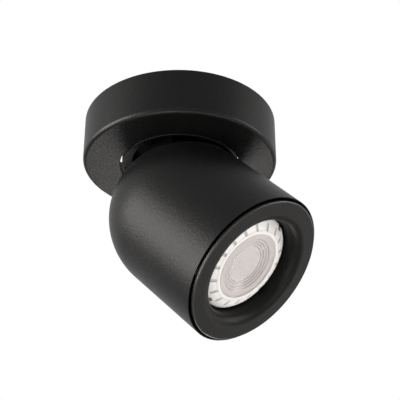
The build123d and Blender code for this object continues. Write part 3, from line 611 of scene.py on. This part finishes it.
@dataclass(frozen=True)
class ClearMoulding(Finish):
    """Clear optical moulding with a faint warm tint, fine moulding haze and painted shade in its steps."""

    clarity: float = 0.5
    index: float = 1.49
    haze: float = 420.0
    haze_step: Limits = (0.35, 0.7)
    haze_shade: float = 0.96
    haze_rough: float = 0.06
    # Shade painted into the steps and between the lenslets: how far the walls count, the openness it fades
    # over and its colour.
    painted_shade_reach: float = 0.7 * MM
    painted_shade_step: Limits = (0.55, 0.97)
    painted_step_shade: Colour = (0.20, 0.16, 0.16)

    def surface(self, graph: Graph) -> dict[str, Any]:
        """Haze, clarity and the painted shade in the steps.

        Args:
            graph: The material's graph.

        Returns:
            Socket names with what feeds them.
        """
        haze = graph.noise(self.haze, detail=2.0)
        clear = graph.blend(haze.step(*self.haze_step), self.colour, shade(self.colour, self.haze_shade))
        # Painted shade: the colour goes to the dark step colour where the steps close round the surface.
        unshaded_share = graph.openness(self.painted_shade_reach).step(*self.painted_shade_step)
        return {
            "Base Color": graph.blend(unshaded_share, self.painted_step_shade, clear),
            "Roughness": self.roughness + haze * self.haze_rough,
            "Transmission Weight": self.clarity,
            "IOR": self.index,
        }


BLACK = (0.0030, 0.00295, 0.0029)
STEEL = (0.60, 0.60, 0.61)
FINISHES: dict[str, Finish] = {
    "canopy_black": PowderCoat("canopy_powder_coat", BLACK, 0.42, specular=0.12, rubbed=0.5,
                               rub_reach=1.1 * MM, rub_out=42.0 * MM),
    "ring_black": PowderCoat("ring_powder_coat", BLACK, 0.42, specular=0.22),
    "head_black": PowderCoat("head_powder_coat", BLACK, 0.42, specular=0.125),
    "front_black": PowderCoat("front_ring_powder_coat", BLACK, 0.42, specular=0.12, rubbed=0.7),
    "yoke_black": PowderCoat("yoke_black_coat", (0.004, 0.004, 0.004), 0.75, specular=0.03, peel=400.0),
    "screw_black": TurnedMetal("blackened_screw", (0.05, 0.05, 0.052), 0.42, 0.6),
    "zinc_plate": PlatedSheet("zinc_plated_sheet", (0.62, 0.63, 0.65), 0.36, 1.0),
    "screw_steel": TurnedMetal("zinc_plated_screw", (0.66, 0.66, 0.68), 0.32, 1.0),
    "bolt_steel": TurnedMetal("turned_swivel_steel", STEEL, 0.30, 1.0),
    "spring_steel": TurnedMetal("spring_steel", (0.48, 0.48, 0.50), 0.28, 1.0, line=1600.0),
    "rivet_aluminium": TurnedMetal("rivet_aluminium", (0.74, 0.74, 0.75), 0.38, 1.0),
    "brass_parts": TurnedMetal("terminal_brass", (0.70, 0.50, 0.20), 0.32, 1.0),
    "terminal_white": Moulding("terminal_polyamide", (0.80, 0.79, 0.74), 0.46),
    "nylon_white": Moulding("nylon_washer", (0.80, 0.80, 0.76), 0.52),
    "lead_earth": Insulation("earth_insulation", (0.10, 0.33, 0.05), 0.42, stripe=(0.76, 0.62, 0.03)),
    "lead_live": Insulation("live_insulation", (0.16, 0.06, 0.025), 0.40),
    "lead_neutral": Insulation("neutral_insulation", (0.03, 0.11, 0.42), 0.40),
    "lead_silicone": Insulation("silicone_insulation", (0.74, 0.72, 0.66), 0.58),
    "holder_ceramic": Moulding("holder_steatite", (0.82, 0.79, 0.71), 0.62, depth=0.00003, speck=0.5),
    "lamp_white": Moulding("lamp_body_moulding", (0.80, 0.80, 0.79), 0.36),
    # The lamp face, the lens and the lenslets get shade painted into their hollows.
    "lamp_face_white": LampFace("lamp_face_moulding", (0.90, 0.895, 0.88), 0.6, specular=0.12,
                                painted_shade_reach=1.4 * MM),
    "lens_clear": ClearMoulding("lens_clear_moulding", (0.71, 0.65, 0.645), 0.10, clarity=0.5,
                                painted_step_shade=(0.10, 0.08, 0.08)),
    "lenslet_frost": ClearMoulding("lenslet_moulding", (0.95, 0.90, 0.89), 0.2, clarity=0.35,
                                   painted_shade_reach=0.5 * MM, painted_step_shade=(0.42, 0.37, 0.37)),
    "board_white": Moulding("solder_mask", (0.80, 0.80, 0.78), 0.32, texture=2600.0),
    "led_yellow": Moulding("phosphor", (0.80, 0.71, 0.42), 0.48, texture=3000.0),
    "pin_nickel": TurnedMetal("nickel_pin", (0.70, 0.69, 0.66), 0.20, 1.0),
}


class Workshop:
    """Hand tools: selection, joining, placing and the finishing of a piece."""

    MERGE_WITHIN: float = 1e-6

    @staticmethod
    def clear_selection() -> None:
        """Leave edit mode and select nothing."""
        if bpy.context.object and bpy.context.object.mode != "OBJECT":
            bpy.ops.object.mode_set(mode="OBJECT")
        bpy.ops.object.select_all(action="DESELECT")

    @classmethod
    def take(cls, piece: bpy.types.Object) -> None:
        """Select one piece alone and make it active.

        Args:
            piece: The piece to select.
        """
        cls.clear_selection()
        piece.select_set(True)
        bpy.context.view_layer.objects.active = piece

    @classmethod
    def select_faces(cls, piece: bpy.types.Object, wanted: Callable[[bpy.types.MeshPolygon], bool]) -> None:
        """Enter edit mode on a piece with only the wanted faces selected.

        Args:
            piece: The piece to edit.
            wanted: Says which faces to select.
        """
        cls.take(piece)
        bpy.ops.object.mode_set(mode="EDIT")
        bpy.ops.mesh.select_mode(type="FACE")
        bpy.ops.mesh.select_all(action="DESELECT")
        bpy.ops.object.mode_set(mode="OBJECT")
        for polygon in piece.data.polygons:
            polygon.select = wanted(polygon)
        bpy.ops.object.mode_set(mode="EDIT")

    @classmethod
    def close(cls, piece: bpy.types.Object, angle: float = 35.0) -> None:
        """Merge doubles, turn the faces outwards and smooth the shading.

        Args:
            piece: The piece to finish.
            angle: Edges sharper than this stay sharp, in degrees.
        """
        cls.take(piece)
        bpy.ops.object.mode_set(mode="EDIT")
        bpy.ops.mesh.select_all(action="SELECT")
        bpy.ops.mesh.remove_doubles(threshold=cls.MERGE_WITHIN)
        bpy.ops.mesh.normals_make_consistent(inside=False)
        bpy.ops.object.mode_set(mode="OBJECT")
        bpy.ops.object.shade_smooth_by_angle(angle=math.radians(angle))

    @staticmethod
    def put(piece: bpy.types.Object, place: Matrix) -> None:
        """Move a piece's mesh to its place and leave its object at the origin."""
        piece.data.transform(place @ piece.matrix_world)
        piece.matrix_world = Matrix.Identity(4)

    @classmethod
    def join(cls, pieces: list[bpy.types.Object], name: str) -> bpy.types.Object:
        """Join pieces into one.

        Args:
            pieces: The pieces; the first one stays.
            name: The name of the result.

        Returns:
            The joined piece.
        """
        cls.clear_selection()
        for piece in pieces:
            piece.select_set(True)
        bpy.context.view_layer.objects.active = pieces[0]
        bpy.ops.object.join()
        pieces[0].name = name
        return pieces[0]


class Dresser:
    """Gives solids and new pieces the finish of their slot in the record."""

    def __init__(self, record: dict[str, Any]) -> None:
        """Read which slot each solid has.

        Args:
            record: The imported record.
        """
        self.slot_of = {part["node"]: part["material_slot"] for part in record["subparts"]}
        self.made: dict[str, bpy.types.Material] = {}

    def finish(self, slot: str) -> bpy.types.Material:
        """The material of a slot, made once.

        Args:
            slot: The slot's name.

        Returns:
            Its material.
        """
        if slot not in self.made:
            self.made[slot] = FINISHES[slot].material()
        return self.made[slot]

    def dress(self, piece: bpy.types.Object, slot: str) -> None:
        """Put a slot's material on all of a piece.

        Args:
            piece: The piece to dress.
            slot: The slot's name.
        """
        piece.data.materials.clear()
        piece.data.materials.append(self.finish(slot))
        for polygon in piece.data.polygons:
            polygon.material_index = 0

    def dress_solids(self, names: Iterable[str]) -> None:
        """Put their own finishes on solids.

        Args:
            names: The solids' names.
        """
        for name in names:
            self.dress(frame["nodes"][name], self.slot_of[name])
            LOG.info("solid %s: %s", name, self.slot_of[name])


@dataclass
class RestPose:
    """Where the swivel and the head stand at rest."""

    swivel_deg: float = 62.0
    tilt_deg: float = 44.0
    pivot_z: float = -51.65 * MM
    front_z: float = -59.1 * MM

    def swivel(self) -> Matrix:
        """The swivel's turn."""
        return Matrix.Rotation(math.radians(self.swivel_deg), 4, "Z")

    def head(self) -> Matrix:
        """The head's place, from its own frame."""
        tilt = Matrix.Rotation(math.radians(-self.tilt_deg), 4, "X")
        return Matrix.Translation((0.0, 0.0, self.pivot_z)) @ self.swivel() @ tilt


@dataclass
class LeadRun:
    """One insulated lead, on one body or over the joint between two."""

    name: str
    slot: str
    replaced: str
    bodies: tuple[str, ...]
    points: list[Vector]
    turn_start: Point = (0.0, 0.0, 0.0)
    turn_end: Point = (0.0, 0.0, 0.0)
    radius: float = 0.9 * MM
    round_steps: int = 4
    run_steps: int = 12
    order: int = 3

    def build(self, dresser: Dresser) -> bpy.types.Object:
        """Model the lead as a smooth tube and dress it.

        Args:
            dresser: Gives the finish.

        Returns:
            The finished lead.
        """
        Workshop.clear_selection()
        curve = bpy.data.curves.new(self.name, "CURVE")
        curve.dimensions = "3D"
        curve.bevel_depth = self.radius
        curve.bevel_resolution = self.round_steps
        curve.resolution_u = self.run_steps
        curve.use_fill_caps = True
        spline = curve.splines.new("NURBS")
        spline.points.add(len(self.points) - 1)
        for point, place in zip(spline.points, self.points):
            point.co = (*place, 1.0)
        spline.order_u = self.order
        spline.use_endpoint_u = True
        tube = bpy.data.objects.new(self.name, curve)
        bpy.context.scene.collection.objects.link(tube)
        Workshop.take(tube)
        bpy.ops.object.convert(target="MESH")
        tube = bpy.context.object
        Workshop.close(tube)
        dresser.dress(tube, self.slot)
        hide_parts(self.replaced)
        if len(self.bodies) > 1:
            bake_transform(tube)
        else:
            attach(tube, self.bodies[0])
        LOG.info("lead %s: on %s", self.name, " and ".join(self.bodies))
        return tube


@dataclass
class SubAssembly:
    """What every sub-assembly shares: the rest pose and the name of its body."""

    pose: RestPose
    body: str = ""

    def build(self, dresser: Dresser) -> None:
        """Dress the solids.

        Args:
            dresser: Gives the finishes.
        """
        dresser.dress_solids(frame["record"]["behaviour"]["bodies"][self.body])


@dataclass
class Canopy(SubAssembly):
    """The fixed drum with its bracket, wiring and cross-bar."""

    body: str = "canopy"
    wire_z: float = -3.65 * MM
    join_z: float = BORE_JOIN_Z
    lead_end: float = 37.9 * MM
    run_in: float = 25.0 * MM
    turn_y: float = 12.0 * MM
    turn_drop: float = 1.5 * MM
    pole_pitch: float = 9.3 * MM
    bore_offset: float = BORE_OFFSET
    earth_start: Point = (-13.0 * MM, 17.0 * MM, -3.0 * MM)
    earth_out: float = 4.0 * MM
    earth_run_in: float = 27.0 * MM

    def earth_lead(self) -> LeadRun:
        """The lead from the earth tag to the block's first pole.

        Returns:
            The lead's run.
        """
        start = Vector(self.earth_start)
        points = [start, start + Vector((0.0, self.earth_out, 0.0))]
        points += [Vector((-self.pole_pitch, y, self.wire_z)) for y in (self.earth_run_in, self.lead_end)]
        return LeadRun("earth_lead_run", "lead_earth", "earth_lead", ("canopy",), points)

    def mains_lead(self, side: int) -> LeadRun:
        """The lead from one pole over the swivel bolt and into its bore.

        Args:
            side: -1 for the live lead, 1 for the neutral one.

        Returns:
            The lead's run.
        """
        turn = math.radians(self.pose.swivel_deg)
        pole = self.pole_pitch * (1 + side) / 2
        x = side * self.bore_offset * math.sin(turn)
        y = -side * self.bore_offset * math.cos(turn)
        points = [Vector((pole, self.lead_end, self.wire_z)), Vector((pole, self.run_in, self.wire_z))]
        points += [Vector((x, self.turn_y, self.wire_z)), Vector((x, y, self.wire_z))]
        points.append(Vector((x, y, self.join_z)))
        name = "live" if side < 0 else "neutral"
        bodies = ("canopy", "swivel")
        ends = ((0.0, 0.0, self.wire_z - self.turn_drop), (0.0, 0.0, self.join_z))
        return LeadRun(f"{name}_lead_run", f"lead_{name}", f"{name}_lead", bodies, points, *ends)

    def build(self, dresser: Dresser) -> None:
        """Dress the solids and model the earth lead and the two mains leads.

        Args:
            dresser: Gives the finishes.
        """
        super().build(dresser)
        self.earth_lead().build(dresser)
        for side in (-1, 1):
            self.mains_lead(side).build(dresser)


@dataclass
class Swivel(SubAssembly):
    """The turning ring, yoke and bolt, and the leads down to the lamp."""

    body: str = "swivel"
    join_z: float = BORE_JOIN_Z
    drop_z: float = -23.633 * MM
    bore_offset: float = BORE_OFFSET
    holder_lead: tuple[float, float] = (3.5 * MM, -8.0 * MM)
    rise: float = 20.6 * MM
    end: float = 5.9 * MM
    start_up: float = 3.0 * MM
    end_back: float = 4.0 * MM

    def lamp_lead(self, side: int) -> LeadRun:
        """One lead from the bolt's bore into the back of the lampholder.

        Args:
            side: -1 or 1, for the two leads.

        Returns:
            The lead's run.
        """
        swivel = self.pose.swivel()
        head = self.pose.head()
        x, y = self.holder_lead
        points = [swivel @ Vector((0.0, side * self.bore_offset, z)) for z in (self.join_z, self.drop_z)]
        points += [head @ Vector((side * x, y, z)) for z in (self.rise, self.end)]
        turn_start = (0.0, 0.0, self.drop_z + self.start_up)
        turn_end = tuple(head @ Vector((0.0, y, self.end + self.end_back)))
        name = f"lamp_lead_run_{'a' if side < 0 else 'b'}"
        bodies = ("swivel", "head")
        return LeadRun(name, "lead_silicone", "lamp_leads", bodies, points, turn_start, turn_end)

    def build(self, dresser: Dresser) -> None:
        """Dress the solids and model the two lamp leads.

        Args:
            dresser: Gives the finishes.
        """
        super().build(dresser)
        for side in (-1, 1):
            self.lamp_lead(side).build(dresser)


@dataclass
class Head(SubAssembly):
    """The bullet housing with its pivot and lampholder."""

    body: str = "head"


@dataclass
class FrontRing(SubAssembly):
    """The push-fit ring with its leaf springs."""

    body: str = "front_ring"


@dataclass
class Lamp(SubAssembly):
    """The reflector lamp: its white mouldings, its stepped lens and the lenslets in the lens's middle."""

    body: str = "lamp"
    lens_r: float = 17.2 * MM
    lens_rim: float = 6.0 * MM
    lens_back: float = 11.5 * MM
    slope_steps: int = 3
    fine_steps: int = 4
    slope_in: float = 0.65 * MM
    slope_down: float = 0.1 * MM
    fine_in: float = 1.0 * MM
    fine_down: float = 0.42 * MM
    riser_in: float = 0.42 * MM
    lenslet_pitch: float = 1.1 * MM
    lenslet_rise: float = 0.34 * MM
    lenslet_spread: float = 0.577
    lenslet_sides: int = 12
    lenslet_rings: int = 8
    seat_depth: float = 0.02 * MM
    segments: int = 96
    front_facing: float = -0.9
    lens_sharp_deg: float = 18.0
    lenslet_sharp_deg: float = 60.0

    def depth(self, behind: float) -> float:
        """Height in the head's frame of a depth behind the front ring's face."""
        return self.pose.front_z + behind

    def middle_r(self) -> float:
        """Radius of the lens's flat middle."""
        steps = self.slope_steps * self.slope_in + self.fine_steps * (self.fine_in + self.riser_in)
        return self.lens_r - steps

    def middle_depth(self) -> float:
        """Depth of the lens's flat middle behind the front ring's face."""
        return self.lens_rim + self.slope_steps * self.slope_down + self.fine_steps * self.fine_down

    def lens(self, dresser: Dresser) -> bpy.types.Object:
        """Model the lens: a drum whose front is inset ring by ring down to the middle.

        Args:
            dresser: Gives the finish.

        Returns:
            The finished lens.
        """
        Workshop.clear_selection()
        height = self.lens_back - self.lens_rim
        middle = (0.0, 0.0, self.depth(self.lens_rim + height / 2))
        drum = {"vertices": self.segments, "radius": self.lens_r, "depth": height}
        bpy.ops.mesh.primitive_cylinder_add(**drum, location=middle)
        lens = bpy.context.object
        lens.name = "stepped_lens"
        bpy.ops.object.transform_apply(location=True, rotation=True, scale=True)
        Workshop.select_faces(lens, lambda face: face.normal.z < self.front_facing)
        for _ in range(self.slope_steps):
            bpy.ops.mesh.inset(thickness=self.slope_in, depth=-self.slope_down)
        for _ in range(self.fine_steps):
            bpy.ops.mesh.inset(thickness=self.fine_in, depth=0.0)
            bpy.ops.mesh.inset(thickness=self.riser_in, depth=-self.fine_down)
        bpy.ops.object.mode_set(mode="OBJECT")
        Workshop.close(lens, self.lens_sharp_deg)
        dresser.dress(lens, "lens_clear")
        self.frost_middle(lens, dresser)
        Workshop.put(lens, self.pose.head())
        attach(lens, "lamp")
        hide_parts("lamp_lens")
        LOG.info("piece %s", lens.name)
        return lens

    def frost_middle(self, lens: bpy.types.Object, dresser: Dresser) -> None:
        """Give the lens's flat middle the frost of its lenslets.

        Args:
            lens: The lens, still in the head's frame.
            dresser: Gives the finish.
        """
        lens.data.materials.append(dresser.finish("lenslet_frost"))
        seat = self.depth(self.middle_depth())
        for polygon in lens.data.polygons:
            if abs(polygon.center.z - seat) < self.seat_depth:
                polygon.material_index = 1

    def lenslet_places(self) -> list[tuple[float, float]]:
        """Centres of a honeycomb of lenslets inside the lens's middle.

        Returns:
            Centres in the head's frame.
        """
        reach = self.middle_r() - self.lenslet_pitch / 2
        row_gap = self.lenslet_pitch * math.sqrt(3) / 2
        rows = int(reach / row_gap) + 1
        places = []
        for row in range(-rows, rows + 1):
            shift = self.lenslet_pitch / 2 if row % 2 else 0.0
            for column in range(-rows - 1, rows + 2):
                x = column * self.lenslet_pitch + shift
                y = row * row_gap
                if math.hypot(x, y) <= reach:
                    places.append((x, y))
        return places

    def lenslets(self, dresser: Dresser) -> bpy.types.Object:
        """Model one lenslet as a shallow cap and copy it over the lens's middle.

        Args:
            dresser: Gives the finish.

        Returns:
            The joined lenslets.
        """
        Workshop.clear_selection()
        radius = self.lenslet_pitch * self.lenslet_spread
        ball = {"segments": self.lenslet_sides, "ring_count": self.lenslet_rings}
        bpy.ops.mesh.primitive_uv_sphere_add(**ball, radius=radius)
        cap = bpy.context.object
        bpy.ops.object.mode_set(mode="EDIT")
        bpy.ops.mesh.select_all(action="SELECT")
        bpy.ops.mesh.bisect(plane_co=(0, 0, 0), plane_no=(0, 0, 1), use_fill=True, clear_outer=True)
        bpy.ops.mesh.select_all(action="SELECT")
        bpy.ops.transform.resize(value=(1.0, 1.0, self.lenslet_rise / radius))
        bpy.ops.object.mode_set(mode="OBJECT")
        seat = self.depth(self.middle_depth()) + self.seat_depth
        caps = []
        for x, y in self.lenslet_places():
            copy = bpy.data.objects.new("lenslet", cap.data.copy())
            bpy.context.scene.collection.objects.link(copy)
            copy.data.transform(Matrix.Translation((x, y, seat)))
            caps.append(copy)
        bpy.data.objects.remove(cap)
        joined = Workshop.join(caps, "lens_lenslets")
        Workshop.close(joined, self.lenslet_sharp_deg)
        Workshop.put(joined, self.pose.head())
        dresser.dress(joined, "lenslet_frost")
        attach(joined, "lamp")
        LOG.info("piece %s: %d lenslets", joined.name, len(caps))
        return joined

    def build(self, dresser: Dresser) -> None:
        """Dress the solids and model the lens and its lenslets.

        Args:
            dresser: Gives the finishes.
        """
        super().build(dresser)
        self.lens(dresser)
        self.lenslets(dresser)


class Side(Enum):
    """Where a soft box stands: position and size in metres, power in watts."""

    LEFT = ((-0.85, -0.22, -0.08), 0.75, 20.5)
    RIGHT = ((0.89, -0.16, 0.10), 0.6, 4.8)
    FRONT_LOW = ((-0.13, -0.33, -0.54), 0.36, 1.2)
    RIGHT_LOW = ((0.34, -0.29, -0.47), 0.36, 1.05)
    BACK_LOW = ((0.02, 0.71, -0.51), 0.42, 2.6)
    FAR_RIGHT = ((0.72, 0.40, -0.435), 0.45, 1.3)


@dataclass
class Studio:
    """Floor, white surroundings, soft boxes and the camera."""

    floor_z: float = -0.8
    floor_size: float = 8.0
    floor_lift: float = 0.65
    floor_drift: float = 2.0
    floor_dark: Colour = (0.80, 0.80, 0.80)
    floor_light: Colour = (0.84, 0.84, 0.84)
    floor_roughness: float = 0.8
    camera_at: Point = (0.0, -0.452157, -0.303627)
    look: Point = (0.02013679, 0.86737185, 0.49725303)
    lens_mm: float = 92.19
    sensor_mm: float = 36.0
    clip_start: float = 0.01
    aim: Point = (0.015, -0.01, -0.055)
    ambient: float = 0.10
    warm: Colour = (1.0, 0.965, 0.94)
    lights: list[Side] = field(default_factory=lambda: list(Side))

    def floor(self) -> None:
        """Lay a plain pale floor well below the light, lifted towards white where the camera sees it."""
        Workshop.clear_selection()
        bpy.ops.mesh.primitive_plane_add(size=self.floor_size, location=(0.0, 0.0, self.floor_z))
        plane = bpy.context.object
        plane.name = "floor"
        made = bpy.data.materials.new("pale_floor")
        made.use_nodes = True
        graph = Graph(made.node_tree)
        drift = graph.noise(self.floor_drift, detail=2.0)
        tone = graph.blend(drift, self.floor_dark, self.floor_light)
        sockets = {"Base Color": tone, "Roughness": self.floor_roughness}
        shader = graph.node("ShaderNodeBsdfPrincipled", {}, sockets)
        seen = graph.node("ShaderNodeLightPath", out="Is Camera Ray")
        pale = graph.node("ShaderNodeEmission", {}, {"Color": WHITE})
        lifted = graph.node("ShaderNodeMixShader", {}, {0: seen * self.floor_lift, 1: shader, 2: pale})
        graph.node("ShaderNodeOutputMaterial", {}, {"Surface": lifted})
        plane.data.materials.append(made)

    def surroundings(self) -> None:
        """White where the camera, gloss and glass look past the object, softer light elsewhere."""
        world = bpy.data.worlds.new("surroundings")
        bpy.context.scene.world = world
        world.use_nodes = True
        graph = Graph(world.node_tree)
        rays = [graph.node("ShaderNodeLightPath", out=name)
                for name in ("Is Camera Ray", "Is Glossy Ray", "Is Transmission Ray")]
        seen = rays[0].most(rays[1]).most(rays[2])
        strength = seen * (1.0 - self.ambient) + self.ambient
        light = graph.node("ShaderNodeBackground", {}, {"Color": WHITE, "Strength": strength})
        graph.node("ShaderNodeOutputWorld", {}, {"Surface": light})

    def soft_box(self, side: Side) -> None:
        """Set up one soft box that faces the light.

        Args:
            side: Which box.
        """
        place, size, power = side.value
        lamp = bpy.data.lights.new(f"soft_box_{side.name.lower()}", "AREA")
        lamp.shape = "DISK"
        lamp.size = size
        lamp.energy = power
        lamp.color = self.warm
        box = bpy.data.objects.new(lamp.name, lamp)
        box.location = place
        box.rotation_mode = "QUATERNION"
        box.rotation_quaternion = (Vector(self.aim) - Vector(place)).to_track_quat("-Z", "Y")
        bpy.context.scene.collection.objects.link(box)

    def camera(self) -> None:
        """Stand the camera where the photograph was taken."""
        data = bpy.data.cameras.new("photo_camera")
        data.lens = self.lens_mm
        data.sensor_width = self.sensor_mm
        data.clip_start = self.clip_start
        camera = bpy.data.objects.new("photo_camera", data)
        camera.location = self.camera_at
        camera.rotation_mode = "QUATERNION"
        camera.rotation_quaternion = Vector(self.look).to_track_quat("-Z", "Y")
        bpy.context.scene.collection.objects.link(camera)
        bpy.context.scene.camera = camera

    def build(self) -> None:
        """Set up the whole studio."""
        bpy.context.scene.view_settings.view_transform = "Standard"
        self.floor()
        self.surroundings()
        for side in self.lights:
            self.soft_box(side)
        self.camera()


def main() -> None:
    """Build the sub-assemblies and the studio in order."""
    logging.basicConfig(level=logging.INFO, format="%(message)s")
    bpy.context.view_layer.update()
    pose = RestPose()
    dresser = Dresser(frame["record"])
    for assembly in (Canopy(pose), Swivel(pose), Head(pose), FrontRing(pose), Lamp(pose)):
        assembly.build(dresser)
    Studio().build()


if __name__ == "__main__":
    main()
